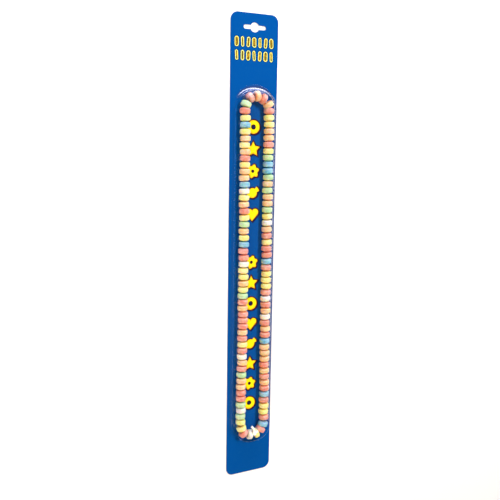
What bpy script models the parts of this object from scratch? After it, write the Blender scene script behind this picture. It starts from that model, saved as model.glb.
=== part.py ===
# A candy necklace in its hang pack: a long blue card with a hang slot, a clear blister shell
# over it, and a closed loop of pressed sugar beads on an elastic thread, knotted at the foot.
# The pack lies on its back. X runs across the card, Y up towards the hang slot, and Z out of
# the front. The origin is under the middle of the card, on the surface that it lies on.
import math
import random

import bmesh
import bpy
from mathutils import Euler, Matrix, Vector

# Card
CARD_WIDTH = 0.0650
CARD_LENGTH = 0.6040
CARD_THICKNESS = 0.0008
CARD_CORNER_RADIUS = 0.0095
CARD_CORNER_STEPS = 8

# Hang slot through the card: a long slot with round ends, and a round bulge at its middle
SLOT_BELOW_TOP = 0.0166
SLOT_WIDTH = 0.0302
SLOT_HEIGHT = 0.0050
SLOT_BULGE_DIAMETER = 0.0118
SLOT_STEPS = 10

# The loop of beads: two long strands, joined over the top and round the foot
LEFT_STRAND_X = -0.01435
RIGHT_STRAND_X = 0.01845
BEAD_DIAMETER = 0.0132
BEAD_PITCH = 0.00832
BEAD_FACE_GAP = 0.0006
BEAD_FACE_SHARE = 0.80
BEAD_BELT_SHARE = 0.58
BEAD_SIDES = 10
BEAD_CLEARANCE = 0.00035
LEFT_BEADS = 49
LEFT_START_BELOW_TOP = 0.1220
RIGHT_BEADS = 50
RIGHT_START_BELOW_TOP = 0.1125

# Each strand bows out near its foot, and its beads drift a little along the thread
LEFT_BOW = -0.0011
RIGHT_BOW = 0.0004
BOW_START_BELOW_TOP = 0.440
BOW_LENGTH = 0.030
LEFT_DRIFT = 0.0012
RIGHT_DRIFT = 0.0004
DRIFT_MIDDLE_BELOW_TOP = 0.275
DRIFT_REACH = 0.120

# Beads over the top and round the foot, from left to right: across from the card's middle,
# below its top, and the thread's turn since the left strand, in degrees
ARCH_BEADS = (
    (-0.0150, 0.1174, 4.0),
    (-0.0140, 0.1091, 20.0),
    (-0.0081, 0.1012, 57.0),
    (0.0016, 0.0992, 83.0),
    (0.0099, 0.1022, 114.0),
    (0.0168, 0.1092, 153.0),
)
FOOT_BEADS = (
    (-0.0144, 0.5350, 14.0),
    (-0.0107, 0.5425, 44.0),
    (-0.0017, 0.5464, 80.0),
    (0.0078, 0.5461, 108.0),
    (0.0147, 0.5412, 147.0),
    (0.0186, 0.5342, 163.0),
)

# Beads sit a little unevenly on the thread
BEAD_SEED = 11
BEAD_JOG = 0.00050
BEAD_TILT = math.radians(4.0)
BEAD_SIZE_SPREAD = 0.012

# Elastic thread, with its knot and two cut ends in front of the lowest beads
THREAD_DIAMETER = 0.0026
THREAD_SIDES = 5
THREAD_STRIDE = 7
KNOT_X = 0.0034
KNOT_BELOW_TOP = 0.5430
KNOT_FORWARD = 0.0050
KNOT_DIAMETER = 0.0058
KNOT_SIDES = 8
KNOT_RINGS = 5
TAIL_DIAMETER = 0.0025
TAIL_SIDES = 5
LONG_TAIL_REACH = (-0.0046, 0.0100, 0.0004)
SHORT_TAIL_REACH = (0.0042, 0.0016, 0.0010)

# Blister shell: a flange on the card, a soft foot, a slanted wall and a wide shoulder round a
# flat front, open at the back
GAP = 0.0003
BLISTER_SHIFT_X = 0.0013
BLISTER_TOP_CENTRE_BELOW_TOP = 0.1175
BLISTER_FOOT_CENTRE_BELOW_TOP = 0.5295
BLISTER_END_SWELL = 0.0012
BLISTER_WALL = 0.0005
FLANGE_RADIUS = 0.0310
FLANGE_REACH = 0.0018
DOME_BASE_RADIUS = 0.0268
DOME_FRONT_RADIUS = 0.0257
DOME_HEIGHT = 0.0154
DOME_FOOT_FILLET = 0.0028
FOOT_STEPS = 3
DOME_SHOULDER = 0.0050
SHOULDER_STEPS = 5
BLISTER_ARC_STEPS = 18

# Levels and places worked out from the sizes above
CARD_TOP_Y = CARD_LENGTH / 2
CARD_FRONT_Z = CARD_THICKNESS
SLOT_Y = CARD_TOP_Y - SLOT_BELOW_TOP
BEAD_Z = CARD_FRONT_Z + BEAD_CLEARANCE + BEAD_DIAMETER / 2
BLISTER_TOP_Y = CARD_TOP_Y - BLISTER_TOP_CENTRE_BELOW_TOP
BLISTER_FOOT_Y = CARD_TOP_Y - BLISTER_FOOT_CENTRE_BELOW_TOP
BLISTER_BACK_Z = CARD_FRONT_Z + GAP

CARD_BLUE = (0.004, 0.085, 0.430, 1.0)
SUGAR = (0.920, 0.600, 0.360, 1.0)
CLEAR_FILM = (0.900, 0.950, 1.000, 0.35)


def clear_scene():
    for item in list(bpy.data.objects):
        bpy.data.objects.remove(item, do_unlink=True)


def make_material(name, colour, roughness, metallic=0.0):
    material = bpy.data.materials.new(name)
    material.use_nodes = True
    shader = material.node_tree.nodes["Principled BSDF"]
    shader.inputs["Base Color"].default_value = colour[:3] + (1.0,)
    shader.inputs["Alpha"].default_value = colour[3]
    shader.inputs["Roughness"].default_value = roughness
    shader.inputs["Metallic"].default_value = metallic
    return material


def object_from_bmesh(name, shape, collection=None):
    bmesh.ops.recalc_face_normals(shape, faces=shape.faces)
    mesh = bpy.data.meshes.new(name)
    shape.to_mesh(mesh)
    shape.free()
    item = bpy.data.objects.new(name, mesh)
    (collection or bpy.context.scene.collection).objects.link(item)
    return item


def ring_of(shape, points):
    return [shape.verts.new(point) for point in points]


def bridge(shape, lower, upper):
    """Quads between two closed rings with the same number of vertices."""
    count = len(lower)
    for index in range(count):
        after = (index + 1) % count
        shape.faces.new((lower[index], lower[after], upper[after], upper[index]))


def loft(rings, closed=False):
    """A body through closed rings of points: capped at both ends, or joined end to start."""
    shape = bmesh.new()
    loops = [ring_of(shape, ring) for ring in rings]
    for lower, upper in zip(loops, loops[1:]):
        bridge(shape, lower, upper)
    if closed:
        bridge(shape, loops[-1], loops[0])
    else:
        shape.faces.new(reversed(loops[0]))
        shape.faces.new(loops[-1])
    return shape


def arc(centre, radius, start, end, steps):
    """Points along an arc in the card's plane, both ends included."""
    points = []
    for index in range(steps + 1):
        angle = math.radians(start + (end - start) * index / steps)
        points.append((centre[0] + radius * math.cos(angle), centre[1] + radius * math.sin(angle)))
    return points


def rounded_rectangle(width, height, radius, steps):
    x = width / 2 - radius
    y = height / 2 - radius
    outline = []
    for centre, start in (((x, y), 0), ((-x, y), 90), ((-x, -y), 180), ((x, -y), 270)):
        outline += arc(centre, radius, start, start + 90, steps)
    return outline


def slot_outline():
    """The long slot with round ends, widened by a round bulge at its middle."""
    half_height = SLOT_HEIGHT / 2
    end_x = SLOT_WIDTH / 2 - half_height
    bulge = SLOT_BULGE_DIAMETER / 2
    meet = math.degrees(math.asin(half_height / bulge))
    outline = arc((end_x, SLOT_Y), half_height, -90, 90, SLOT_STEPS)
    outline += arc((0, SLOT_Y), bulge, meet, 180 - meet, SLOT_STEPS)
    outline += arc((-end_x, SLOT_Y), half_height, 90, 270, SLOT_STEPS)
    outline += arc((0, SLOT_Y), bulge, 180 + meet, 360 - meet, SLOT_STEPS)
    return outline


def plate(name, outline, low, high):
    """An outline in the card's plane, extruded between two levels."""
    rings = [[(x, y, level) for x, y in outline] for level in (low, high)]
    return object_from_bmesh(name, loft(rings))


def make_card(material):
    outline = rounded_rectangle(CARD_WIDTH, CARD_LENGTH, CARD_CORNER_RADIUS, CARD_CORNER_STEPS)
    card = plate("card", outline, 0.0, CARD_THICKNESS)
    cutter = plate("slot_cutter", slot_outline(), -CARD_THICKNESS, 2 * CARD_THICKNESS)
    cutter.hide_render = True
    cutter.display_type = "WIRE"
    cut = card.modifiers.new("hang_slot", "BOOLEAN")
    cut.operation = "DIFFERENCE"
    cut.solver = "EXACT"
    cut.object = cutter
    card.data.materials.append(material)
    return card


def stadium(radius, z, reach=0.0, swell=BLISTER_END_SWELL):
    """The long outline that the blister's rings share, at one level.

    Its ends can reach further along the card, and they swell where a round end would turn."""
    points = []
    for middle_y, start in ((BLISTER_TOP_Y + reach, 0), (BLISTER_FOOT_Y - reach, 180)):
        for index in range(BLISTER_ARC_STEPS + 1):
            angle = math.radians(start + 180 * index / BLISTER_ARC_STEPS)
            length = radius + swell * math.sin(2 * angle) ** 2
            x = BLISTER_SHIFT_X + length * math.cos(angle)
            points.append((x, middle_y + length * math.sin(angle), z))
    return points


def bend_rings(centre, bend, start, end, steps):
    """Rings round a bend of the wall, whose section is an arc about a radius and a level."""
    return [stadium(radius, level) for radius, level in arc(centre, bend, start, end, steps)]


def dome_side(inset):
    """The rings of one side of the dome's wall, from the flange to the flat front."""
    flange_z = BLISTER_BACK_Z + BLISTER_WALL - inset
    front_z = BLISTER_BACK_Z + DOME_HEIGHT - inset
    foot = DOME_FOOT_FILLET + inset
    shoulder = DOME_SHOULDER - inset
    foot_centre = (DOME_BASE_RADIUS + DOME_FOOT_FILLET, flange_z + foot)
    shoulder_centre = (DOME_FRONT_RADIUS - DOME_SHOULDER, front_z - shoulder)
    rings = bend_rings(foot_centre, foot, 270, 180, FOOT_STEPS)
    return rings + bend_rings(shoulder_centre, shoulder, 0, 90, SHOULDER_STEPS)


def make_blister(material):
    levels = (BLISTER_BACK_Z, BLISTER_BACK_Z + BLISTER_WALL)
    outer = [stadium(FLANGE_RADIUS, level, FLANGE_REACH, 0.0) for level in levels]
    outer += dome_side(0)
    inner = dome_side(BLISTER_WALL)
    shape = bmesh.new()
    outer_loops = [ring_of(shape, ring) for ring in outer]
    inner_loops = [ring_of(shape, ring) for ring in inner]
    for loops in (outer_loops, inner_loops):
        for lower, upper in zip(loops, loops[1:]):
            bridge(shape, lower, upper)
        shape.faces.new(loops[-1])
    bridge(shape, outer_loops[0], inner_loops[0])
    blister = object_from_bmesh("blister", shape)
    blister.data.shade_smooth()
    blister.data.set_sharp_from_angle(angle=math.radians(40))
    blister.data.materials.append(material)
    return blister


def strand_places(count, start, x, drift, bow):
    """The middles of the beads on a strand, from its head down."""
    places = []
    for index in range(count):
        below = start + (index + 0.5) * BEAD_PITCH
        wave = max(-1, min(1, (below - DRIFT_MIDDLE_BELOW_TOP) / DRIFT_REACH))
        share = max(0, min(1, (below - BOW_START_BELOW_TOP) / BOW_LENGTH))
        across = x + bow * share * share * (3 - 2 * share)
        along = below + drift * math.sin(math.pi * wave)
        places.append(Vector((across, CARD_TOP_Y - along, BEAD_Z)))
    return places


def bent_places(beads, way):
    """The middles and directions of the beads round one end, from left to right.

    The way is 1 over the top and -1 round the foot."""
    places = []
    for x, below, angle in beads:
        turn = math.radians(angle)
        direction = Vector((math.sin(turn), way * math.cos(turn), 0))
        places.append((Vector((x, CARD_TOP_Y - below, BEAD_Z)), direction))
    return places


def bead_places():
    """The middle and the direction of every bead, round the loop from the left strand's head."""
    left = strand_places(LEFT_BEADS, LEFT_START_BELOW_TOP, LEFT_STRAND_X, LEFT_DRIFT, LEFT_BOW)
    right = strand_places(RIGHT_BEADS, RIGHT_START_BELOW_TOP, RIGHT_STRAND_X, RIGHT_DRIFT, RIGHT_BOW)
    places = [(place, Vector((0, -1, 0))) for place in left]
    places += bent_places(FOOT_BEADS, -1)
    places += [(place, Vector((0, 1, 0))) for place in reversed(right)]
    places += [(place, -direction) for place, direction in reversed(bent_places(ARCH_BEADS, 1))]
    return places


def bead_mesh():
    """A short pressed bead with its axis on Y: a belt between two bevelled flat faces."""
    half = (BEAD_PITCH - BEAD_FACE_GAP) / 2
    radius = BEAD_DIAMETER / 2
    profile = (
        (-half, radius * BEAD_FACE_SHARE),
        (-half * BEAD_BELT_SHARE, radius),
        (half * BEAD_BELT_SHARE, radius),
        (half, radius * BEAD_FACE_SHARE),
    )
    return turned(profile, BEAD_SIDES)


def turned(profile, sides):
    """A body turned round Y from pairs of a place along the axis and a radius."""
    rings = []
    for along, radius in profile:
        angles = [2 * math.pi * index / sides for index in range(sides)]
        rings.append([(radius * math.sin(a), along, radius * math.cos(a)) for a in angles])
    return loft(rings)


def facing(direction):
    """The turn that takes the Y axis to a direction in the card's plane."""
    return Matrix.Rotation(math.atan2(direction.y, direction.x) - math.pi / 2, 4, "Z")


def add_beads(collection):
    draw = random.Random(BEAD_SEED)
    first = object_from_bmesh("bead", bead_mesh(), collection)
    for number, (place, direction) in enumerate(bead_places()):
        bead = first if number == 0 else bpy.data.objects.new("bead", first.data)
        if number:
            collection.objects.link(bead)
        jog = Vector((draw.uniform(-1, 1), 0, 0)) * BEAD_JOG
        tilt = Euler((0, draw.uniform(0, math.pi), draw.uniform(-1, 1) * BEAD_TILT))
        size = 1 - BEAD_SIZE_SPREAD * draw.random()
        turn = facing(direction)
        bead.matrix_world = (
            Matrix.Translation(place + turn @ jog) @ turn @ tilt.to_matrix().to_4x4()
            @ Matrix.Diagonal((size, 1, size, 1)))


def thread_points():
    """The thread's own closed line: each bead round the ends, and a few along the strands."""
    points = []
    for number, (place, direction) in enumerate(bead_places()):
        if direction.x or (number + 1) % THREAD_STRIDE == 0:
            points.append(place)
    return points


def make_thread():
    points = thread_points()
    rings = []
    for index, point in enumerate(points):
        along = (points[(index + 1) % len(points)] - points[index - 1]).normalized()
        across = Vector((along.y, -along.x, 0))
        ring = []
        for side in range(THREAD_SIDES):
            angle = 2 * math.pi * side / THREAD_SIDES
            offset = across * math.cos(angle) + Vector((0, 0, 1)) * math.sin(angle)
            ring.append(point + offset * THREAD_DIAMETER / 2)
        rings.append(ring)
    return object_from_bmesh("candy_necklace", loft(rings, closed=True))


def add_knot(collection):
    """The knot in the front notch between the two lowest beads, with its two cut ends."""
    place = Vector((KNOT_X, CARD_TOP_Y - KNOT_BELOW_TOP, BEAD_Z + KNOT_FORWARD))
    profile = []
    for ring in range(KNOT_RINGS):
        angle = math.pi * (ring + 0.5) / KNOT_RINGS
        profile.append((-KNOT_DIAMETER / 2 * math.cos(angle), KNOT_DIAMETER / 2 * math.sin(angle)))
    knot = object_from_bmesh("knot", turned(profile, KNOT_SIDES), collection)
    knot.matrix_world = Matrix.Translation(place)
    for reach in (LONG_TAIL_REACH, SHORT_TAIL_REACH):
        add_tail(collection, place, Vector(reach))


def add_tail(collection, start, reach):
    """A straight cut end of the thread, from the middle of the knot."""
    profile = ((0, TAIL_DIAMETER / 2), (reach.length, TAIL_DIAMETER / 2))
    tail = object_from_bmesh("tail", turned(profile, TAIL_SIDES), collection)
    turn = Vector((0, 1, 0)).rotation_difference(reach).to_matrix().to_4x4()
    tail.matrix_world = Matrix.Translation(start) @ turn


def apply_modifiers(item):
    graph = bpy.context.evaluated_depsgraph_get()
    mesh = bpy.data.meshes.new_from_object(item.evaluated_get(graph))
    item.modifiers.clear()
    item.data = mesh


def make_necklace(material):
    """The thread with every bead and the knot fused on it, as one body."""
    pieces = bpy.data.collections.new("necklace_pieces")
    bpy.context.scene.collection.children.link(pieces)
    necklace = make_thread()
    add_beads(pieces)
    add_knot(pieces)
    union = necklace.modifiers.new("fuse_beads", "BOOLEAN")
    union.operation = "UNION"
    union.operand_type = "COLLECTION"
    union.collection = pieces
    union.solver = "EXACT"
    apply_modifiers(necklace)
    for item in list(pieces.objects):
        bpy.data.objects.remove(item, do_unlink=True)
    bpy.data.collections.remove(pieces)
    necklace.data.materials.clear()
    necklace.data.materials.append(material)
    return necklace


def main():
    clear_scene()
    make_card(make_material("card_blue", CARD_BLUE, 0.25))
    make_blister(make_material("clear_film", CLEAR_FILM, 0.06))
    make_necklace(make_material("pressed_sugar", SUGAR, 0.55))


main()
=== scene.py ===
import math
import random

import bmesh
import bpy
from mathutils import Euler, Matrix, Vector
from mathutils.geometry import delaunay_2d_cdt


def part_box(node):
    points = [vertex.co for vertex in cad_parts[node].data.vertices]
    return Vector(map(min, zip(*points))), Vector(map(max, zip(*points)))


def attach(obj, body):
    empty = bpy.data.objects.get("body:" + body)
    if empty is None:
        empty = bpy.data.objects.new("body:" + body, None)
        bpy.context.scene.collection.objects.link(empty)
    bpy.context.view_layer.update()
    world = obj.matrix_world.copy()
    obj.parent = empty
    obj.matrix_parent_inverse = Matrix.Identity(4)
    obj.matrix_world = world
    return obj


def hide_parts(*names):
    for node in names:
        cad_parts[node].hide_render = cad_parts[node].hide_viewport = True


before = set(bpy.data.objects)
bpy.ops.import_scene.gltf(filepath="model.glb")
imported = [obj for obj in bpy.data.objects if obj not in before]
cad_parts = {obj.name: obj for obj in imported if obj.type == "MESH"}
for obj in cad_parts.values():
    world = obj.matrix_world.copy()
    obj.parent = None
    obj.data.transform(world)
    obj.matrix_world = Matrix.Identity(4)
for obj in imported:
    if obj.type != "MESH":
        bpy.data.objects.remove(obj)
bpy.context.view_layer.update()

MM = 0.001

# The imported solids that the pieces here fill
CARD_LOW, CARD_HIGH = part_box("card")
BLISTER_LOW, BLISTER_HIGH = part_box("blister")
CARD_TOP_Y = CARD_HIGH.y
CARD_FRONT_Z = CARD_HIGH.z
CARD_WIDTH = CARD_HIGH.x - CARD_LOW.x
CARD_LENGTH = CARD_HIGH.y - CARD_LOW.y

# Card outline and hang slot, as in the solid
CARD_CORNER_RADIUS = 9.5 * MM
CARD_CORNER_STEPS = 12
SLOT_BELOW_TOP = 16.6 * MM
SLOT_WIDTH = 30.2 * MM
SLOT_HEIGHT = 5.0 * MM
SLOT_BULGE_DIAMETER = 11.8 * MM
SLOT_STEPS = 12

# The loop of beads, as in the solid: two strands, joined over the top and round the foot
LEFT_STRAND_X = -14.35 * MM
RIGHT_STRAND_X = 18.45 * MM
BEAD_DIAMETER = 13.2 * MM
BEAD_PITCH = 8.32 * MM
BEAD_CLEARANCE = 0.35 * MM
LEFT_START_BELOW_TOP = 122.0 * MM
RIGHT_START_BELOW_TOP = 112.5 * MM
BEAD_Z = CARD_FRONT_Z + BEAD_CLEARANCE + BEAD_DIAMETER / 2

# Each strand bows out near its foot, and its beads drift a little along the thread
LEFT_BOW = -1.1 * MM
RIGHT_BOW = 0.4 * MM
BOW_START_BELOW_TOP = 440.0 * MM
BOW_LENGTH = 30.0 * MM
LEFT_DRIFT = 1.2 * MM
RIGHT_DRIFT = 0.4 * MM
DRIFT_MIDDLE_BELOW_TOP = 275.0 * MM
DRIFT_REACH = 120.0 * MM

# Beads over the top and round the foot, from left to right: millimetres across from the card's
# middle and below its top, and the thread's turn since the left strand, in degrees
ARCH_BEADS = (
    (-15.0, 117.4, 4.0),
    (-14.0, 109.1, 20.0),
    (-8.1, 101.2, 57.0),
    (1.6, 99.2, 83.0),
    (9.9, 102.2, 114.0),
    (16.8, 109.2, 153.0),
)
FOOT_BEADS = (
    (-14.4, 535.0, 14.0),
    (-10.7, 542.5, 44.0),
    (-1.7, 546.4, 80.0),
    (7.8, 546.1, 108.0),
    (14.7, 541.2, 147.0),
    (18.6, 534.2, 163.0),
)

# Bead colours, down each strand and from left to right over the top and round the foot
LEFT_COLOURS = "YBYOYOPYOOBWYOPYGOYBPPWYYOYGPOPPPOPYPWOPGOOPPGWGY"
RIGHT_COLOURS = "PYYOOPYGBBGOGOOGYWOPYPPBPYYYPWPOWPOPBOOOPOPOPBPYYP"
ARCH_COLOURS = "PGPOPO"
FOOT_COLOURS = "YPWYPB"
BEAD_KINDS = {"P": "coral", "O": "orange", "Y": "yellow", "G": "green", "B": "blue", "W": "white"}

# Unevenness of the beads on the thread, drawn as in the solid
BEAD_SEED = 11
BEAD_JOG = 0.50 * MM
BEAD_TILT = math.radians(4.0)
BEAD_SIZE_SPREAD = 0.012

# Bead section: a bevelled thread hole, a flat hub, a sloping face, a bevel and a belt
BEAD_SIDES = 30
BEAD_HOLE_RADIUS = 1.3 * MM
BEAD_HOLE_BEVEL_DEPTH = 0.35 * MM
BEAD_HOLE_BEVEL_WIDTH = 0.30 * MM
BEAD_HUB_RADIUS = 2.6 * MM
BEAD_FACE_RADIUS = 5.1 * MM
BEAD_FACE_SLOPE = 0.75 * MM
BEAD_BELT_SHARE = 0.58
BEAD_BELT_EDGE_SHARE = 0.995
BEAD_FACE_GAP = 0.06 * MM
CORNER_CUTS = 2

# Low lumps over every bead
LUMP_HEIGHT = 0.22 * MM
LUMP_SCALE = 320.0

# Elastic thread, its knot as a closed line of three loops, and its two cut ends, whose points are
# in millimetres from the knot's middle
THREAD_RADIUS = 0.70 * MM
THREAD_SIDES = 10
KNOT_X = 3.4 * MM
KNOT_BELOW_TOP = 543.0 * MM
KNOT_FORWARD = 5.0 * MM
KNOT_RADIUS = 1.35 * MM
KNOT_LOOP_REACH = 1.25
KNOT_LOOP_SWING = 0.55
KNOT_LOOP_HEIGHT = 0.85
KNOT_THREAD_RADIUS = 1.30 * MM
TAIL_RADIUS = 1.65 * MM
KNOT_STEPS = 90
TAIL_STEPS = 10
LONG_TAIL = ((0, 0, 0), (-0.8, 3.2, 0.9), (-2.3, 6.8, 0.9), (-4.6, 10.0, 0.4))
SHORT_TAIL = ((0, 0, 0), (1.2, 0.9, 0.7), (2.7, 1.5, 1.0), (4.2, 1.6, 1.0))

# Blister: the solid's outline, drawn as a thinner film with finer bends
FILM_WALL = 0.45 * MM
BLISTER_SHIFT_X = 1.3 * MM
BLISTER_TOP_CENTRE_Y = CARD_TOP_Y - 117.5 * MM
BLISTER_FOOT_CENTRE_Y = CARD_TOP_Y - 529.5 * MM
BLISTER_END_SWELL = 1.2 * MM
FLANGE_RADIUS = 31.0 * MM
FLANGE_REACH = 1.8 * MM
DOME_BASE_RADIUS = 26.9 * MM
DOME_FRONT_RADIUS = 25.7 * MM
DOME_FOOT_FILLET = 2.6 * MM
LEDGE_BEND = 0.6 * MM
LEDGE_SWEEP = 75.0
LEDGE_ABOVE_FLANGE = 3.4 * MM
DOME_SHOULDER = 5.0 * MM
FRONT_INSET = 0.6 * MM
BEND_STEPS = 12
RIM_STEPS = 4
FILM_ARC_STEPS = 48
FILM_SHARP_ANGLE = math.radians(50)

# How bright the film's painted glints are over the top, round the upper right corner and down the
# right
RIM_GLINTS = (0.03, 0.35, 0.35)
FOOT_GLINTS = (1.00, 1.90, 0.90)
LEDGE_GLINTS = (0.75, 0.03, 0.03)
SHOULDER_GLINTS = (0.40, 0.15, 0.15)
FRONT_GLINTS = (0.08, 0.08, 0.08)
NO_GLINTS = (0.0, 0.0, 0.0)

# Down the left they brighten from the head to the foot, as shares of what they are over the top
LEFT_HEAD_GLINT = 0.01
LEFT_FOOT_GLINT = 0.20

# Where they change round the head, in degrees turned from the right: from the right to the
# corner, from the corner to the top, and from the left to the top. Round the foot they fade out,
# in degrees turned from either side
RIGHT_GLINT_FADE = (8, 25)
TOP_GLINT_FADE = (55, 95)
LEFT_GLINT_FADE = (150, 132)
FOOT_GLINT_FADE = (0, 20)

# Print on the card: two columns of bold sweet shapes inside the loop, one over the other, and two
# rows of sugar strands above the loop
MOTIF_PITCH = 27.7 * MM
MOTIF_RADIUS = 8.5 * MM
MOTIF_COLUMN_X = 0.3 * MM
UPPER_COLUMN_BELOW_TOP = 136.6 * MM
UPPER_COLUMN = ("ring", "star", "flower", "sweet", "heart")
LOWER_COLUMN_BELOW_TOP = 310.0 * MM
LOWER_COLUMN = ("flower", "star", "ring", "heart", "sweet", "star", "flower", "ring")
MOTIF_HOLES = {"ring": 3.3 * MM, "flower": 2.2 * MM}
OUTLINE_WIDTH = 1.5 * MM
CORE_INSET = 1.2 * MM
CORE_SHIFT = (0.5 * MM, 0.4 * MM)
SHADOW_SHIFT = (1.2 * MM, -1.0 * MM)
MOTIF_STEPS = 72
STRAND_ROWS_BELOW_TOP = (34.4 * MM, 50.4 * MM)
STRAND_ROW_LEFT = -24.2 * MM
STRAND_PITCH = 7.9 * MM
STRANDS_IN_ROW = 7
STRAND_HALF_WIDTHS = (2.7 * MM, 1.9 * MM, 2.2 * MM)
STRAND_HALF_HEIGHT = 6.0 * MM
STRAND_RIM = 0.85 * MM
STRAND_LEAN = math.radians(4.0)

# Camera, fitted to the card's edges and both strands
CAMERA_PLACE = (-0.3541, 0.1477, 0.7334)
CAMERA_TARGET = (-0.0015, 0.0082, 0.0)
CAMERA_ROLL = math.radians(-0.9)
CAMERA_LENS = 45.7
SENSOR_WIDTH = 36.0
CAMERA_NEAR = 0.01

# Studio lamps: the place, the width and height in metres, the watts and the colour of each
KEY_LAMP = ((0.50, 1.00, 1.62), (0.30, 0.50), 39.5, (1.0, 0.98, 0.94))
RIM_LAMP = ((0.10, 1.85, 0.42), (1.80, 0.40), 35.0, (0.92, 0.96, 1.0))
SIDE_LAMP = ((1.75, -0.30, 0.85), (0.50, 2.20), 9.0, (0.90, 0.94, 1.0))
FILL_LAMP = ((-0.95, -1.05, 1.35), (1.20, 0.80), 5.0, (1.0, 0.68, 0.41))
PANEL_LAMP = ((0.70, 1.90, 1.00), (3.00, 1.80), 58.0, (0.86, 0.89, 1.0))
WIDE_SPREAD = math.radians(180)
FILL_SPREAD = math.radians(60)

# The dim room round the pack, and its floor
ROOM_COLOUR = (0.90, 0.95, 1.0)
ROOM_STRENGTH = 0.16
FLOOR_SIZE = 8.0
FLOOR_BELOW = 0.2 * MM

# Colours, as linear light
CARD_BLUE = (0.0005, 0.0635, 0.288)
CARD_BLUE_WORN = (0.003, 0.070, 0.275)
INK_SHADOW = (0.003, 0.008, 0.055)
INK_OUTLINE = (0.040, 0.003, 0.010)
INK_GOLD = (0.900, 0.470, 0.010)
INK_LEMON = (0.930, 0.790, 0.004)
INK_LEMON_WORN = (0.900, 0.700, 0.012)
STRAND_PALE = (0.720, 0.790, 0.260)
STRAND_GOLD = (0.120, 0.085, 0.012)
STRAND_SHADOW = (0.002, 0.014, 0.040)
BOARD_GREY = (0.640, 0.625, 0.580)
BOARD_EDGE = (0.250, 0.350, 0.520)
BEAD_TINTS = {
    "coral": (0.710, 0.222, 0.138),
    "orange": (0.800, 0.525, 0.222),
    "yellow": (0.790, 0.775, 0.195),
    "green": (0.440, 0.690, 0.335),
    "blue": (0.112, 0.450, 0.665),
    "white": (0.790, 0.780, 0.740),
}
# Painted shade where two beads meet: a deeper, more saturated tint of each colour
NOTCH_SHADE_TINTS = {
    "coral": (0.820, 0.170, 0.070),
    "orange": (0.820, 0.340, 0.060),
    "yellow": (0.800, 0.540, 0.045),
    "green": (0.200, 0.560, 0.240),
    "blue": (0.040, 0.360, 0.560),
    "white": (0.700, 0.640, 0.500),
}
SUGAR_DUST = 0.95
ELASTIC_WHITE = (0.900, 0.940, 0.960)
FILM_SHEEN = (0.840, 0.830, 1.000)
FILM_CLEAR = (0.998, 0.999, 1.000)
FLOOR_PALE = (0.830, 0.850, 0.880)

# How much the film mirrors where it is flat, along the painted glint mask on its bends and where it
# is seen edge on, how rough it is, and how much rougher on its shoulder
FLAT_MIRROR = 0.006
PAINTED_GLINT_MIRROR = 0.24
EDGE_MIRROR = 0.80
EDGE_MIRROR_POWER = 10.0
FILM_ROUGHNESS = 0.16
SHOULDER_ROUGHNESS = 0.30

# A Mix node has colours in these sockets, by number
MIX_FIRST = 6
MIX_SECOND = 7
MIX_RESULT = 2


class Wire:
    """A socket of a node tree. Python's operators on it add Math nodes to that tree."""

    def __init__(self, graph, socket):
        self.graph = graph
        self.socket = socket

    def maths(self, operation, first, second):
        return self.graph.add("ShaderNodeMath", {"operation": operation}, {0: first, 1: second})

    def __add__(self, other):
        return self.maths("ADD", self, other)

    def __radd__(self, other):
        return self.maths("ADD", other, self)

    def __sub__(self, other):
        return self.maths("SUBTRACT", self, other)

    def __mul__(self, other):
        return self.maths("MULTIPLY", self, other)

    def __pow__(self, other):
        return self.maths("POWER", self, other)

    def within(self, low, high):
        """Runs from 0 to 1, softly, as the value runs from low to high."""
        settings = {"interpolation_type": "SMOOTHSTEP"}
        return self.graph.add("ShaderNodeMapRange", settings, {0: self, 1: low, 2: high})


class Graph:
    """A node tree that is filled by calls, for a material or for Geometry Nodes."""

    def __init__(self, tree):
        self.tree = tree

    def add(self, kind, settings=None, sockets=None, out=0):
        """Adds a node: its settings first, then the values or links of its sockets."""
        node = self.tree.nodes.new(kind)
        for name, value in (settings or {}).items():
            setattr(node, name, value)
        for key, value in (sockets or {}).items():
            self.feed(node.inputs[key], value)
        return Wire(self, node.outputs[out])

    def feed(self, socket, value):
        if isinstance(value, Wire):
            self.tree.links.new(value.socket, socket)
        else:
            socket.default_value = value

    def place(self):
        return self.add("ShaderNodeTexCoord", out="Object")

    def noise(self, scale, detail=2.0, roughness=0.5):
        sockets = {"Vector": self.place(), "Scale": scale, "Detail": detail, "Roughness": roughness}
        return self.add("ShaderNodeTexNoise", {}, sockets)

    def blend(self, share, first, second):
        """A colour from first to second as the share runs from 0 to 1."""
        ends = [value + (1.0,) if isinstance(value, tuple) else value for value in (first, second)]
        settings = {"data_type": "RGBA", "clamp_factor": True}
        sockets = {"Factor": share, MIX_FIRST: ends[0], MIX_SECOND: ends[1]}
        return self.add("ShaderNodeMix", settings, sockets, out=MIX_RESULT)

    def bump(self, height, strength, distance):
        sockets = {"Strength": strength, "Distance": distance, "Height": height}
        return self.add("ShaderNodeBump", {}, sockets)


def new_material(name, constants):
    """A material with a Principled shader, its constants set, and the graph that feeds it."""
    material = bpy.data.materials.new(name)
    material.use_nodes = True
    shader = material.node_tree.nodes["Principled BSDF"]
    for socket, value in constants.items():
        shader.inputs[socket].default_value = value
    return material, Graph(material.node_tree), shader


def printed_ink(name, colour, worn):
    """Ink under a thin varnish on board: faint mottling, a fine tooth and a soft gloss."""
    material, graph, shader = new_material(name, {"Specular IOR Level": 0.06})
    mottle = graph.noise(260.0, 4.0, 0.6)
    flecks = graph.noise(2400.0, 2.0)
    share = mottle.within(0.42, 0.78) * 0.55 + flecks.within(0.62, 0.80) * 0.35
    graph.feed(shader.inputs["Base Color"], graph.blend(share, colour, worn))
    graph.feed(shader.inputs["Roughness"], 0.12 + mottle * 0.12)
    tooth = graph.noise(1500.0, 3.0)
    graph.feed(shader.inputs["Normal"], graph.bump(tooth, 0.06, 0.0002))
    return material


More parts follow.
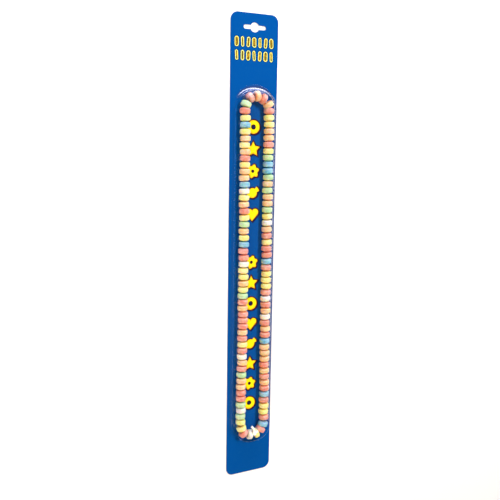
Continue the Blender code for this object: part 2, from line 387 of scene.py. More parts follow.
def plain_board(name, colour):
    """Uncoated grey-white board with short fibres."""
    material, graph, shader = new_material(name, {"Specular IOR Level": 0.2})
    fibres = graph.noise(900.0, 6.0, 0.7)
    clouds = graph.noise(70.0, 3.0)
    darker = tuple(value * 0.80 for value in colour)
    share = fibres.within(0.45, 0.75) * 0.6 + clouds.within(0.4, 0.7) * 0.3
    graph.feed(shader.inputs["Base Color"], graph.blend(share, colour, darker))
    graph.feed(shader.inputs["Roughness"], 0.80 + fibres * 0.12)
    graph.feed(shader.inputs["Normal"], graph.bump(fibres, 0.25, 0.0002))
    return material


def pressed_sugar(name, tint, notch):
    """Pressed sugar with a soft sheen: cloudy tint, pale dust, darker specks, and fine pits.

    Painted shade: where the faces of two beads meet, the colour deepens to a more saturated tint
    and grows darker still near the hub."""
    constants = {
        "Subsurface Weight": 0.80,
        "Subsurface Radius": (0.0030, 0.0016, 0.0005),
        "Subsurface Scale": 1.0,
        "Specular IOR Level": 1.0,
        "IOR": 2.2,
    }
    material, graph, shader = new_material(name, constants)
    patches = graph.noise(110.0, 2.0)
    clouds = graph.noise(260.0, 3.0, 0.6)
    grain = graph.noise(2200.0, 3.0, 0.7)
    specks = graph.noise(1000.0, 2.0)
    pale = tuple(0.55 * value + 0.45 * SUGAR_DUST for value in tint)
    deep = tuple(0.92 * value ** 1.7 for value in tint)
    depth = graph.add("ShaderNodeAttribute", {"attribute_name": "depth"}, out="Fac")
    dust = patches.within(0.42, 0.62) * 0.34 + clouds.within(0.44, 0.68) * 0.45
    colour = graph.blend(dust + grain.within(0.55, 0.80) * 0.30, tint, pale)
    colour = graph.blend(specks.within(0.60, 0.74) * 0.45, colour, deep)
    # Painted shade between beads: a deeper tint on the bevels, then darker towards the hub
    colour = graph.blend(depth.within(0.18, 0.50), colour, notch)
    colour = graph.blend(depth.within(0.45, 0.90), colour, tuple(0.50 * value for value in notch))
    graph.feed(shader.inputs["Base Color"], colour)
    graph.feed(shader.inputs["Roughness"], 0.46 + grain * 0.30)
    sockets = {"Vector": graph.place(), "Scale": 2100.0}
    pits = graph.add("ShaderNodeTexVoronoi", {"feature": "F1"}, sockets)
    height = grain * 0.7 + pits.within(0.05, 0.45) * 0.5
    graph.feed(shader.inputs["Normal"], graph.bump(height, 0.28, 0.00022))
    return material


def woven_elastic(name, colour):
    """Covered elastic: fine ribs round a soft white thread."""
    material, graph, shader = new_material(name, {"Specular IOR Level": 0.3})
    fuzz = graph.noise(4200.0, 3.0)
    shade = tuple(value * 0.84 for value in colour)
    graph.feed(shader.inputs["Base Color"], graph.blend(fuzz.within(0.35, 0.75), colour, shade))
    graph.feed(shader.inputs["Roughness"], 0.6 + fuzz * 0.25)
    graph.feed(shader.inputs["Normal"], graph.bump(fuzz, 0.5, 0.0002))
    return material


def clear_film(name):
    """Thin clear plastic: what is behind it shows, and its gloss grows towards its edges.

    Its mirror share follows a painted glint mask, set by place on its bends, so that lamps show in
    it only there. It is softest on the shoulder."""
    constants = {"Base Color": FILM_SHEEN + (1.0,), "Metallic": 1.0}
    material, graph, shader = new_material(name, constants)
    ripple = graph.noise(60.0, 2.0)
    graph.feed(shader.inputs["Normal"], graph.bump(ripple, 0.02, 0.0008))
    facing = graph.add("ShaderNodeLayerWeight", {}, {"Blend": 0.5}, out="Facing")
    # The bend attribute is a painted glint mask: how much the film mirrors, set by place
    bend = graph.add("ShaderNodeAttribute", {"attribute_name": "bend"}, out="Fac")
    soft = graph.add("ShaderNodeAttribute", {"attribute_name": "soft"}, out="Fac")
    graph.feed(shader.inputs["Roughness"], FILM_ROUGHNESS + soft * SHOULDER_ROUGHNESS)
    edge = facing ** EDGE_MIRROR_POWER
    mirror = FLAT_MIRROR + bend * PAINTED_GLINT_MIRROR + edge * EDGE_MIRROR
    clear = graph.add("ShaderNodeBsdfTransparent", {}, {"Color": FILM_CLEAR + (1.0,)})
    mixed = graph.add("ShaderNodeMixShader", {}, {0: mirror, 1: clear})
    tree = material.node_tree
    tree.links.new(shader.outputs[0], mixed.socket.node.inputs[2])
    tree.links.new(mixed.socket, tree.nodes["Material Output"].inputs["Surface"])
    return material


def floor_paint(name):
    material, graph, shader = new_material(name, {"Specular IOR Level": 0.1, "Roughness": 0.9})
    drift = graph.noise(3.0, 2.0)
    darker = tuple(value * 0.985 for value in FLOOR_PALE)
    graph.feed(shader.inputs["Base Color"], graph.blend(drift, FLOOR_PALE, darker))
    return material


def object_from_bmesh(name, shape, smooth=True):
    """Puts a finished shape in the scene as an object, with its faces turned outwards."""
    bmesh.ops.recalc_face_normals(shape, faces=shape.faces)
    mesh = bpy.data.meshes.new(name)
    shape.to_mesh(mesh)
    shape.free()
    if smooth:
        mesh.shade_smooth()
    item = bpy.data.objects.new(name, mesh)
    bpy.context.scene.collection.objects.link(item)
    return item


def bridge(shape, lower, upper):
    """Quads between two closed rings with the same number of vertices."""
    count = len(lower)
    for index in range(count):
        after = (index + 1) % count
        shape.faces.new((lower[index], lower[after], upper[after], upper[index]))


def arc(centre, radius, start, end, steps):
    """Points along an arc in the card's plane, both ends included, with angles in degrees."""
    points = []
    for index in range(steps + 1):
        angle = math.radians(start + (end - start) * index / steps)
        points.append((centre[0] + radius * math.cos(angle), centre[1] + radius * math.sin(angle)))
    return points


def card_outline():
    x = CARD_WIDTH / 2 - CARD_CORNER_RADIUS
    y = CARD_LENGTH / 2 - CARD_CORNER_RADIUS
    outline = []
    for centre, start in (((x, y), 0), ((-x, y), 90), ((-x, -y), 180), ((x, -y), 270)):
        outline += arc(centre, CARD_CORNER_RADIUS, start, start + 90, CARD_CORNER_STEPS)
    return outline


def slot_outline():
    """The long slot with round ends, widened by a round bulge at its middle."""
    centre_y = CARD_TOP_Y - SLOT_BELOW_TOP
    half_height = SLOT_HEIGHT / 2
    end_x = SLOT_WIDTH / 2 - half_height
    bulge = SLOT_BULGE_DIAMETER / 2
    meet = math.degrees(math.asin(half_height / bulge))
    outline = arc((end_x, centre_y), half_height, -90, 90, SLOT_STEPS)
    outline += arc((0, centre_y), bulge, meet, 180 - meet, SLOT_STEPS)
    outline += arc((-end_x, centre_y), half_height, 90, 270, SLOT_STEPS)
    outline += arc((0, centre_y), bulge, 180 + meet, 360 - meet, SLOT_STEPS)
    return outline


def round_outline(reach, grow):
    """A closed outline from its reach at each angle, in metres, grown by a width."""
    points = []
    for index in range(MOTIF_STEPS):
        angle = 2 * math.pi * index / MOTIF_STEPS
        length = reach(angle) + grow
        points.append((length * math.cos(angle), length * math.sin(angle)))
    return points


def ring_motif(grow):
    return round_outline(lambda angle: MOTIF_RADIUS, grow)


def flower_motif(grow):
    return round_outline(lambda angle: MOTIF_RADIUS * (0.92 + 0.13 * math.sin(6 * angle)), grow)


def sweet_motif(grow):
    """A round sweet in a wrapper that fans out at both ends, on a slant."""
    def reach(angle):
        aside = abs(math.sin(angle - math.radians(35)))
        return MOTIF_RADIUS * (1.16 if aside < 0.36 else 0.74)
    return round_outline(reach, grow)


def star_motif(grow):
    """A plump star of five points, whose points grow more than its notches."""
    outline = []
    for index in range(10):
        angle = math.radians(90 + 36 * index)
        if index % 2:
            length = MOTIF_RADIUS * 0.60 + grow * 1.15
        else:
            length = MOTIF_RADIUS * 1.14 + grow * 1.70
        outline.append((length * math.cos(angle), length * math.sin(angle)))
    return outline


def heart_motif(grow):
    """Two round lobes and the straight flanks that run from them to the foot."""
    lobe = MOTIF_RADIUS * 0.54 + grow
    lobe_x = MOTIF_RADIUS * 0.48
    lobe_y = MOTIF_RADIUS * 0.34
    drop = MOTIF_RADIUS * 1.34 + grow * 1.3
    flank = math.atan2(-drop, -lobe_x) + math.acos(lobe / math.hypot(drop, lobe_x))
    notch = math.acos(-min(lobe_x / lobe, 1))
    right = arc((lobe_x, lobe_y), lobe, math.degrees(flank), math.degrees(notch), MOTIF_STEPS // 3)
    left = [(-x, y) for x, y in reversed(right[:-1])]
    return right + left + [(0, lobe_y - drop)]


MOTIFS = {
    "ring": ring_motif,
    "flower": flower_motif,
    "sweet": sweet_motif,
    "star": star_motif,
    "heart": heart_motif,
}


def strand_outline(half_width, lean, grow):
    """A slim upright strand with round ends, leaning a little."""
    x = half_width + grow
    run = STRAND_HALF_HEIGHT - half_width
    points = arc((0, run), x, 0, 180, SLOT_STEPS) + arc((0, -run), x, 180, 360, SLOT_STEPS)
    turn = Matrix.Rotation(lean, 2)
    return [tuple(turn @ Vector(point)) for point in points]


def shifted(outline, shift):
    return [(x + shift[0], y + shift[1]) for x, y in outline]


def motif_layers(kind, centre):
    """One sweet shape: its shadow, outline, golden rim, lemon core and any hole."""
    make = MOTIFS[kind]
    outer = shifted(make(OUTLINE_WIDTH), centre)
    layers = [(shifted(outer, SHADOW_SHIFT), "shadow"), (outer, "outline")]
    layers.append((shifted(make(0), centre), "gold"))
    core = shifted(make(-CORE_INSET), CORE_SHIFT)
    layers.append((shifted(core, centre), "lemon"))
    if kind in MOTIF_HOLES:
        hole = MOTIF_HOLES[kind]
        for grow, ink in ((0, "outline"), (-OUTLINE_WIDTH, "shadow")):
            layers.append((shifted(round_outline(lambda angle: hole, grow), centre), ink))
    return layers


def strand_layers(row, number, centre):
    """One sugar strand: a dark edge, a pale rim and a golden core."""
    half_width = STRAND_HALF_WIDTHS[(number + row) % len(STRAND_HALF_WIDTHS)]
    lean = STRAND_LEAN * math.sin(2.3 * number + row)
    inks = ((0.7 * MM, "strand_shadow"), (0, "strand_rim"), (-STRAND_RIM, "strand_core"))
    return [(shifted(strand_outline(half_width, lean, grow), centre), ink) for grow, ink in inks]


def print_layers():
    """Every printed shape, lowest ink first, as pairs of an outline and its ink."""
    columns = ((UPPER_COLUMN_BELOW_TOP, UPPER_COLUMN), (LOWER_COLUMN_BELOW_TOP, LOWER_COLUMN))
    layers = []
    for below_top, kinds in columns:
        for number, kind in enumerate(kinds):
            centre = (MOTIF_COLUMN_X, CARD_TOP_Y - below_top - number * MOTIF_PITCH)
            layers += motif_layers(kind, centre)
    for row, below_top in enumerate(STRAND_ROWS_BELOW_TOP):
        for number in range(STRANDS_IN_ROW):
            centre = (STRAND_ROW_LEFT + number * STRAND_PITCH, CARD_TOP_Y - below_top)
            layers += strand_layers(row, number, centre)
    return layers


def card_inks():
    """The card's material slots by name: inks for the front, and bare board for the rest."""
    return {
        "blue": printed_ink("card_blue", CARD_BLUE, CARD_BLUE_WORN),
        "shadow": printed_ink("ink_shadow", INK_SHADOW, CARD_BLUE),
        "outline": printed_ink("ink_outline", INK_OUTLINE, INK_OUTLINE),
        "gold": printed_ink("ink_gold", INK_GOLD, INK_LEMON),
        "lemon": printed_ink("ink_lemon", INK_LEMON, INK_LEMON_WORN),
        "strand_shadow": printed_ink("ink_strand_shadow", STRAND_SHADOW, CARD_BLUE),
        "strand_rim": printed_ink("ink_strand_rim", STRAND_PALE, INK_LEMON),
        "strand_core": printed_ink("ink_strand_core", STRAND_GOLD, INK_GOLD),
        "board": plain_board("bare_board", BOARD_GREY),
        "edge": plain_board("cut_edge", BOARD_EDGE),
    }


def printed_front(shape, ink_names):
    """Adds the card's front to a shape: faces cut along every outline, in the ink on top there.

    The card's own outline is the first and the slot's is the second. Faces in the slot are left
    out."""
    outlines = [(card_outline(), "blue"), (slot_outline(), "slot")] + print_layers()
    slot_number = 1
    points = []
    fields = []
    for outline, _ in outlines:
        fields.append(list(range(len(points), len(points) + len(outline))))
        points += [Vector(point) for point in outline]
    spots, _, cells, _, _, cell_fields = delaunay_2d_cdt(points, [], fields, 1, 1e-7)
    corners = [shape.verts.new((x, y, CARD_FRONT_Z)) for x, y in spots]
    front = []
    for cell, numbers in zip(cells, cell_fields):
        if slot_number in numbers:
            continue
        face = shape.faces.new([corners[number] for number in cell])
        face.material_index = ink_names.index(outlines[max(numbers)][1])
        front.append(face)
    loose = [vert for vert in shape.verts if not vert.link_faces]
    bmesh.ops.delete(shape, geom=loose, context="VERTS")
    return front


def make_card():
    """The card with its front split into fields of ink, as one closed board."""
    inks = card_inks()
    names = list(inks)
    shape = bmesh.new()
    front = printed_front(shape, names)
    made = bmesh.ops.extrude_face_region(shape, geom=front)["geom"]
    back = [item for item in made if isinstance(item, bmesh.types.BMFace)]
    for vert in (item for item in made if isinstance(item, bmesh.types.BMVert)):
        vert.co.z = CARD_LOW.z
    for face in shape.faces:
        if face in back:
            face.material_index = names.index("board")
        elif face not in front:
            face.material_index = names.index("edge")
    card = object_from_bmesh("printed_card", shape, smooth=False)
    for material in inks.values():
        card.data.materials.append(material)
    return card


def stadium(radius, z, reach=0.0, swell=BLISTER_END_SWELL):
    """The long outline that the film's rings share, at one level.

    Its ends can reach further along the card, and they swell where a round end would turn."""
    points = []
    ends = ((BLISTER_TOP_CENTRE_Y + reach, 0), (BLISTER_FOOT_CENTRE_Y - reach, 180))
    for middle_y, start in ends:
        for index in range(FILM_ARC_STEPS + 1):
            angle = math.radians(start + 180 * index / FILM_ARC_STEPS)
            length = radius + swell * math.sin(2 * angle) ** 2
            x = BLISTER_SHIFT_X + length * math.cos(angle)
            points.append((x, middle_y + length * math.sin(angle), z))
    return points


def bend_rings(centre_radius, centre_z, bend, start, end):
    """Rings round a bend of the film, whose section is an arc between two angles."""
    section = arc((centre_radius, centre_z), bend, start, end, BEND_STEPS)
    return [stadium(radius, z) for radius, z in section]


def film_side(inset):
    """The rings of one side of the film, from the flange to the flat front.

    Each goes with its painted glints and with how soft they are."""
    flange_z = BLISTER_LOW.z + FILM_WALL - inset
    front_z = BLISTER_HIGH.z - inset
    foot = DOME_FOOT_FILLET + inset
    shoulder = DOME_SHOULDER - inset
    foot_rings = bend_rings(DOME_BASE_RADIUS - inset + foot, flange_z + foot, foot, 270, 180)
    ledge_x = DOME_BASE_RADIUS - inset - LEDGE_BEND
    ledge_z = flange_z + LEDGE_ABOVE_FLANGE
    sweep = math.radians(LEDGE_SWEEP)
    ledge_rings = bend_rings(ledge_x, ledge_z, LEDGE_BEND, 0, LEDGE_SWEEP)
    ledge_x += 2 * LEDGE_BEND * math.cos(sweep)
    ledge_z += 2 * LEDGE_BEND * math.sin(sweep)
    ledge_rings += bend_rings(ledge_x, ledge_z, LEDGE_BEND, 180 + LEDGE_SWEEP, 180)[1:]
    front_radius = DOME_FRONT_RADIUS - inset - shoulder
    shoulder_rings = bend_rings(front_radius, front_z - shoulder, shoulder, 0, 90)
    front_ring = stadium(front_radius - FRONT_INSET, front_z)
    rings = [(ring, FOOT_GLINTS, 0.0) for ring in foot_rings]
    rings += [(ring, LEDGE_GLINTS, 0.0) for ring in ledge_rings]
    rings += [(ring, SHOULDER_GLINTS, 1.0) for ring in shoulder_rings]
    return rings + [(front_ring, FRONT_GLINTS, 0.0)]


def ramp(value, start, end):
    """Runs from 0 to 1 as the value runs from start to end, which may be the lower one."""
    return max(0.0, min(1.0, (value - start) / (end - start)))


def glint_at(place, glints):
    """The painted glint share of a bend of the film at a place, from its glints round the film."""
    over_top, corner, right = glints
    x = place.x - BLISTER_SHIFT_X
    if place.y < 0:
        below = max(BLISTER_FOOT_CENTRE_Y - place.y, 0.0)
        turned = math.degrees(math.atan2(below, abs(x)))
        side = right if x > 0 else over_top * LEFT_FOOT_GLINT
        return side * (1 - ramp(turned, *FOOT_GLINT_FADE))
    above = max(place.y - BLISTER_TOP_CENTRE_Y, 0.0)
    turned = math.degrees(math.atan2(above, x))
    share = LEFT_HEAD_GLINT + (1 - LEFT_HEAD_GLINT) * ramp(turned, *LEFT_GLINT_FADE)
    bright = right + (corner - right) * ramp(turned, *RIGHT_GLINT_FADE)
    return (bright + (over_top - bright) * ramp(turned, *TOP_GLINT_FADE)) * share


def make_film(material):
    """The blister: a flange, a soft foot, a low ledge, a wall and a wide shoulder, open behind."""
    rim = arc((FLANGE_RADIUS - FILM_WALL, BLISTER_LOW.z), FILM_WALL, 0, 90, RIM_STEPS)
    flange = [(stadium(radius, level, FLANGE_REACH, 0.0), RIM_GLINTS, 0.0) for radius, level in rim]
    inner = stadium(FLANGE_RADIUS - 2 * FILM_WALL, BLISTER_LOW.z + FILM_WALL, FLANGE_REACH, 0.0)
    flange.append((inner, NO_GLINTS, 0.0))
    shape = bmesh.new()
    # The bend layer holds the painted glint mask: a mirror share set by place round the film
    glint = shape.verts.layers.float.new("bend")
    softness = shape.verts.layers.float.new("soft")
    sides = []
    for rings in (flange + film_side(0), film_side(FILM_WALL)):
        loops = []
        for ring, glints, soft in rings:
            loops.append([shape.verts.new(point) for point in ring])
            for vert in loops[-1]:
                vert[glint] = glint_at(vert.co, glints)
                vert[softness] = soft
        for lower, upper in zip(loops, loops[1:]):
            bridge(shape, lower, upper)
        shape.faces.new(loops[-1])
        sides.append(loops)
    bridge(shape, sides[0][0], sides[1][0])
    film = object_from_bmesh("blister_film", shape)
    film.data.set_sharp_from_angle(angle=FILM_SHARP_ANGLE)
    film.data.materials.append(material)
    return film


def cut_corners(points, times):
    """Rounds a line of points by cutting each corner, with its two ends kept."""
    for _ in range(times):
        rounded = [points[0]]
        for first, second in zip(points, points[1:]):
            for share in (0.25, 0.75):
                rounded.append(tuple(a + (b - a) * share for a, b in zip(first, second)))
        points = rounded + [points[-1]]
    return points


def bead_section():
    """Half of a bead's section, from its thread hole to the middle of its belt."""
    half = (BEAD_PITCH - BEAD_FACE_GAP) / 2
    radius = BEAD_DIAMETER / 2
    corners = (
        (0.0, BEAD_HOLE_RADIUS),
        (-half + BEAD_HOLE_BEVEL_DEPTH, BEAD_HOLE_RADIUS),
        (-half, BEAD_HOLE_RADIUS + BEAD_HOLE_BEVEL_WIDTH),
        (-half, BEAD_HUB_RADIUS),
        (-half + BEAD_FACE_SLOPE, BEAD_FACE_RADIUS),
        (-half * BEAD_BELT_SHARE, radius * BEAD_BELT_EDGE_SHARE),
        (-half * BEAD_BELT_SHARE * 0.5, radius),
        (0.0, radius),
    )
    return cut_corners(list(corners), CORNER_CUTS)


def make_bead_pattern():
    """One bead with its axis on Y, closed round its thread hole.

    Its depth runs from 0 on the belt to 1 at the hub, where two beads meet."""
    near = bead_section()
    far = [(-along, radius) for along, radius in near[-2:0:-1]]
    shape = bmesh.new()
    loops = []
    for along, radius in near + far:
        angles = [2 * math.pi * index / BEAD_SIDES for index in range(BEAD_SIDES)]
        ring = [(radius * math.sin(angle), along, radius * math.cos(angle)) for angle in angles]
        loops.append([shape.verts.new(point) for point in ring])
    for number, lower in enumerate(loops):
        bridge(shape, lower, loops[(number + 1) % len(loops)])
    bead = object_from_bmesh("bead_pattern", shape)
    depth = bead.data.attributes.new("depth", "FLOAT", "POINT")
    belt_to_hub = BEAD_DIAMETER / 2 - BEAD_HUB_RADIUS
    for number, vert in enumerate(bead.data.vertices):
        radius = math.hypot(vert.co.x, vert.co.z)
        depth.data[number].value = (BEAD_DIAMETER / 2 - radius) / belt_to_hub
    return bead


def strand_places(count, start, x, drift, bow):
    """The middles of the beads on a strand, from its head down."""
    places = []
    for index in range(count):
        below = start + (index + 0.5) * BEAD_PITCH
        wave = max(-1, min(1, (below - DRIFT_MIDDLE_BELOW_TOP) / DRIFT_REACH))
        share = max(0, min(1, (below - BOW_START_BELOW_TOP) / BOW_LENGTH))
        across = x + bow * share * share * (3 - 2 * share)
        along = below + drift * math.sin(math.pi * wave)
        places.append(Vector((across, CARD_TOP_Y - along, BEAD_Z)))
    return places


def bent_places(beads, way):
    """The middles and directions of the beads round one end, from left to right.

    The way is 1 over the top and -1 round the foot."""
    places = []
    for x, below, angle in beads:
        turn = math.radians(angle)
        direction = Vector((math.sin(turn), way * math.cos(turn), 0))
        places.append((Vector((x * MM, CARD_TOP_Y - below * MM, BEAD_Z)), direction))
    return places


def bead_places():
    """The middle, direction and colour of every bead, round the loop from the left strand."""
    left = strand_places(
        len(LEFT_COLOURS), LEFT_START_BELOW_TOP, LEFT_STRAND_X, LEFT_DRIFT, LEFT_BOW)
    right = strand_places(
        len(RIGHT_COLOURS), RIGHT_START_BELOW_TOP, RIGHT_STRAND_X, RIGHT_DRIFT, RIGHT_BOW)
    places = [(place, Vector((0, -1, 0))) for place in left]
    places += bent_places(FOOT_BEADS, -1)
    places += [(place, Vector((0, 1, 0))) for place in reversed(right)]
    places += [(place, -direction) for place, direction in reversed(bent_places(ARCH_BEADS, 1))]
    colours = LEFT_COLOURS + FOOT_COLOURS + RIGHT_COLOURS[::-1] + ARCH_COLOURS[::-1]
    return [(place, direction, colour) for (place, direction), colour in zip(places, colours)]


def uneven_beads():
    """The beads as the thread holds them: each one's place, turn, stretch and colour."""
    draw = random.Random(BEAD_SEED)
    beads = []
    for place, direction, colour in bead_places():
        jog = Vector((draw.uniform(-1, 1), 0, 0)) * BEAD_JOG
        tilt = Euler((0, draw.uniform(0, math.pi), draw.uniform(-1, 1) * BEAD_TILT))
        size = 1 - BEAD_SIZE_SPREAD * draw.random()
        turn = Matrix.Rotation(math.atan2(direction.y, direction.x) - math.pi / 2, 3, "Z")
        spin = (turn @ tilt.to_matrix()).to_euler()
        beads.append((place + turn @ jog, spin, (size, 1.0, size), colour))
    return beads


def points_with(name, beads):
    """A mesh of loose points, one for each bead, that carry the bead's turn and stretch."""
    mesh = bpy.data.meshes.new(name)
    mesh.from_pydata([place for place, _, _, _ in beads], [], [])
    turns = mesh.attributes.new("turn", "FLOAT_VECTOR", "POINT")
    stretches = mesh.attributes.new("stretch", "FLOAT_VECTOR", "POINT")
    for number, (_, spin, stretch, _) in enumerate(beads):
        turns.data[number].vector = spin
        stretches.data[number].vector = stretch
    item = bpy.data.objects.new(name, mesh)
    bpy.context.scene.collection.objects.link(item)
    return item


def bead_tree():
    """Geometry Nodes that put a bead on every point and make each surface a little uneven."""
    tree = bpy.data.node_groups.new("beads_on_thread", "GeometryNodeTree")
    group_sockets = (
        ("Points", "INPUT", "NodeSocketGeometry"),
        ("Bead", "INPUT", "NodeSocketObject"),
        ("Unevenness", "INPUT", "NodeSocketFloat"),
        ("Lump Scale", "INPUT", "NodeSocketFloat"),
        ("Seed", "INPUT", "NodeSocketFloat"),
        ("Finish", "INPUT", "NodeSocketMaterial"),
        ("Beads", "OUTPUT", "NodeSocketGeometry"),
    )
    for name, way, kind in group_sockets:
        tree.interface.new_socket(name=name, in_out=way, socket_type=kind)
    graph = Graph(tree)
    entry = tree.nodes.new("NodeGroupInput")
    given = {socket.name: Wire(graph, socket) for socket in entry.outputs if socket.name}
    bead = graph.add("GeometryNodeObjectInfo", {}, {"Object": given["Bead"]}, out="Geometry")
    vector = {"data_type": "FLOAT_VECTOR"}
    turn = graph.add("GeometryNodeInputNamedAttribute", vector, {"Name": "turn"})
    stretch = graph.add("GeometryNodeInputNamedAttribute", vector, {"Name": "stretch"})
    spin = graph.add("FunctionNodeEulerToRotation", {}, {0: turn})
    sockets = {"Points": given["Points"], "Instance": bead, "Rotation": spin, "Scale": stretch}
    placed = graph.add("GeometryNodeInstanceOnPoints", {}, sockets)
    real = graph.add("GeometryNodeRealizeInstances", {}, {0: placed})
    where = graph.add("GeometryNodeInputPosition")
    sockets = {"Vector": where, "W": given["Seed"], "Scale": given["Lump Scale"], "Detail": 2.0}
    lumps = graph.add("ShaderNodeTexNoise", {"noise_dimensions": "4D"}, sockets)
    outward = graph.add("GeometryNodeInputNormal")
    sockets = {0: outward, "Scale": (lumps - 0.5) * given["Unevenness"]}
    push = graph.add("ShaderNodeVectorMath", {"operation": "SCALE"}, sockets)
    worn = graph.add("GeometryNodeSetPosition", {}, {"Geometry": real, "Offset": push})
    done = graph.add("GeometryNodeSetMaterial", {}, {"Geometry": worn, "Material": given["Finish"]})
    leave = tree.nodes.new("NodeGroupOutput")
    tree.links.new(done.socket, leave.inputs["Beads"])
    return tree


def grown_mesh(item, tree, values):
    """Runs a Geometry Nodes tree on an object and keeps the result as its plain mesh."""
    modifier = item.modifiers.new("growth", "NODES")
    modifier.node_group = tree
    for socket in tree.interface.items_tree:
        if socket.name in values:
            modifier[socket.identifier] = values[socket.name]
    evaluated = item.evaluated_get(bpy.context.evaluated_depsgraph_get())
    mesh = bpy.data.meshes.new_from_object(evaluated)
    item.modifiers.remove(modifier)
    item.data = mesh
    mesh.shade_smooth()
    return item


def make_beads():
    """One piece for each colour of bead."""
    pattern = make_bead_pattern()
    tree = bead_tree()
    beads = uneven_beads()
    pieces = []
    for number, (letter, kind) in enumerate(BEAD_KINDS.items()):
        chosen = [bead for bead in beads if bead[3] == letter]
        item = points_with(f"beads_{kind}", chosen)
        values = {
            "Bead": pattern,
            "Unevenness": LUMP_HEIGHT,
            "Lump Scale": LUMP_SCALE,
            "Seed": float(BEAD_SEED + number),
            "Finish": pressed_sugar(f"sugar_{kind}", BEAD_TINTS[kind], NOTCH_SHADE_TINTS[kind]),
        }
        pieces.append(grown_mesh(item, tree, values))
    bpy.data.objects.remove(pattern, do_unlink=True)
    return pieces


def tube(shape, points, radius, closed=False):
    """A round tube along points, added to a shape, with a steady frame so that it never twists."""
    count = len(points)
    across = Vector((0, 0, 1))
    loops = []
    for index, point in enumerate(points):
        ahead = points[(index + 1) % count] if closed or index + 1 < count else point
        behind = points[index - 1] if closed or index > 0 else point
        along = (ahead - behind).normalized()
        across = (across - along * across.dot(along)).normalized()
        aside = along.cross(across)
        ring = []
        for side in range(THREAD_SIDES):
            angle = 2 * math.pi * side / THREAD_SIDES
            ring.append(point + (across * math.cos(angle) + aside * math.sin(angle)) * radius)
        loops.append([shape.verts.new(place) for place in ring])
    for lower, upper in zip(loops, loops[1:]):
        bridge(shape, lower, upper)
    if closed:
        bridge(shape, loops[-1], loops[0])
    else:
        shape.faces.new(reversed(loops[0]))
        shape.faces.new(loops[-1])


def smooth_line(points, steps):
    """A curve through given points, read at even steps."""
    line = []
    last = len(points) - 1
    for index in range(steps + 1):
        spot = index / steps * last
        number = min(int(spot), last - 1)
        share = spot - number
        before = points[max(number - 1, 0)]
        after = points[min(number + 2, last)]
        start, end = points[number], points[number + 1]
        pull = (end - before) * 0.5
        push = (after - start) * 0.5
        line.append(
            start * (2 * share ** 3 - 3 * share ** 2 + 1)
            + pull * (share ** 3 - 2 * share ** 2 + share)
            + end * (3 * share ** 2 - 2 * share ** 3)
            + push * (share ** 3 - share ** 2))
    return line


def knot_line():
    """The three crossings of a simple knot, as a closed line round its middle."""
    line = []
    for index in range(KNOT_STEPS):
        turn = 2 * math.pi * index / KNOT_STEPS
        reach = KNOT_RADIUS * (KNOT_LOOP_REACH + KNOT_LOOP_SWING * math.cos(3 * turn))
        height = KNOT_LOOP_HEIGHT * KNOT_RADIUS * math.sin(3 * turn)
        line.append(Vector((reach * math.cos(2 * turn), reach * math.sin(2 * turn), height)))
    return line


def make_thread(material):
    """The elastic through every bead, its knot, and the cut ends."""
    shape = bmesh.new()
    tube(shape, [place for place, _, _ in bead_places()], THREAD_RADIUS, closed=True)
    middle = Vector((KNOT_X, CARD_TOP_Y - KNOT_BELOW_TOP, BEAD_Z + KNOT_FORWARD))
    tube(shape, [middle + point for point in knot_line()], KNOT_THREAD_RADIUS, closed=True)
    for tail in (LONG_TAIL, SHORT_TAIL):
        points = [middle + Vector(point) * MM for point in tail]
        tube(shape, smooth_line(points, TAIL_STEPS), TAIL_RADIUS)
    thread = object_from_bmesh("elastic_thread", shape)
    thread.data.materials.append(material)
    return thread


def make_floor():
    bpy.ops.mesh.primitive_grid_add(x_subdivisions=4, y_subdivisions=4, size=FLOOR_SIZE)
    floor = bpy.context.object
    floor.name = "floor"
    floor.data.transform(Matrix.Translation((0, 0, -FLOOR_BELOW)))
    floor.data.materials.append(floor_paint("floor_paint"))


def turn_to(item, place, target, roll=0.0):
    """Aims a camera or a lamp at a target, with the card's top towards the picture's top."""
    forward = (Vector(target) - Vector(place)).normalized()
    right = forward.cross(Vector((0, 1, 0))).normalized()
    upward = right.cross(forward)
    turn = Matrix((right, upward, -forward)).transposed().to_4x4()
    item.matrix_world = Matrix.Translation(place) @ turn @ Matrix.Rotation(-roll, 4, "Z")


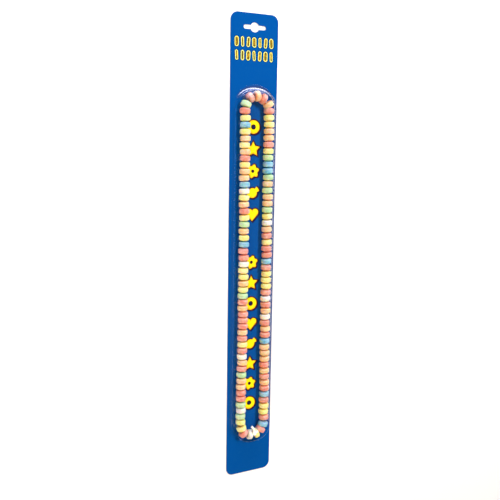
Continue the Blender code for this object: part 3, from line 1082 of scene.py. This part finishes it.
def make_camera():
    camera = bpy.data.objects.new("camera", bpy.data.cameras.new("camera"))
    camera.data.lens = CAMERA_LENS
    camera.data.sensor_width = SENSOR_WIDTH
    camera.data.clip_start = CAMERA_NEAR
    bpy.context.scene.collection.objects.link(camera)
    turn_to(camera, CAMERA_PLACE, CAMERA_TARGET, CAMERA_ROLL)
    bpy.context.scene.camera = camera


def area_light(name, values, spread=WIDE_SPREAD, lights_matte=True, gives_gloss=True):
    """A rectangular lamp, aimed at the pack's middle.

    It can be kept from lighting matte surfaces, or from showing in gloss."""
    place, size, watts, colour = values
    lamp = bpy.data.lights.new(name, "AREA")
    lamp.shape = "RECTANGLE"
    lamp.size, lamp.size_y = size
    lamp.energy = watts
    lamp.color = colour
    lamp.spread = spread
    item = bpy.data.objects.new(name, lamp)
    bpy.context.scene.collection.objects.link(item)
    item.visible_diffuse = lights_matte
    item.visible_glossy = gives_gloss
    turn_to(item, place, (0, 0, 0))


def make_light():
    """A high and a low light beyond the card's top, a strip at its right, and a dim room.

    A narrow warm light from the lower left fills the shadows, and a wide panel beyond the top
    shows only as gloss."""
    world = bpy.data.worlds.new("studio")
    world.use_nodes = True
    background = world.node_tree.nodes["Background"]
    background.inputs["Color"].default_value = ROOM_COLOUR + (1.0,)
    background.inputs["Strength"].default_value = ROOM_STRENGTH
    bpy.context.scene.world = world
    area_light("key", KEY_LAMP, gives_gloss=False)
    area_light("rim", RIM_LAMP, gives_gloss=False)
    area_light("side", SIDE_LAMP)
    area_light("fill", FILL_LAMP, spread=FILL_SPREAD, gives_gloss=False)
    area_light("panel", PANEL_LAMP, lights_matte=False)
    bpy.context.scene.view_settings.view_transform = "Standard"


def dress(item, *nodes, slot):
    """Makes a piece ride with the pack and stand for its solids, which it hides. The slot is not
    used.
    """
    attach(item, "root")
    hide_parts(*nodes)


make_camera()
make_light()
make_floor()
dress(make_card(), "card", slot="card")
dress(make_film(clear_film("clear_film")), "blister", slot="blister")
for piece in make_beads():
    dress(piece, "candy_necklace", slot="beads")
dress(make_thread(woven_elastic("white_elastic", ELASTIC_WHITE)), "candy_necklace", slot="beads")
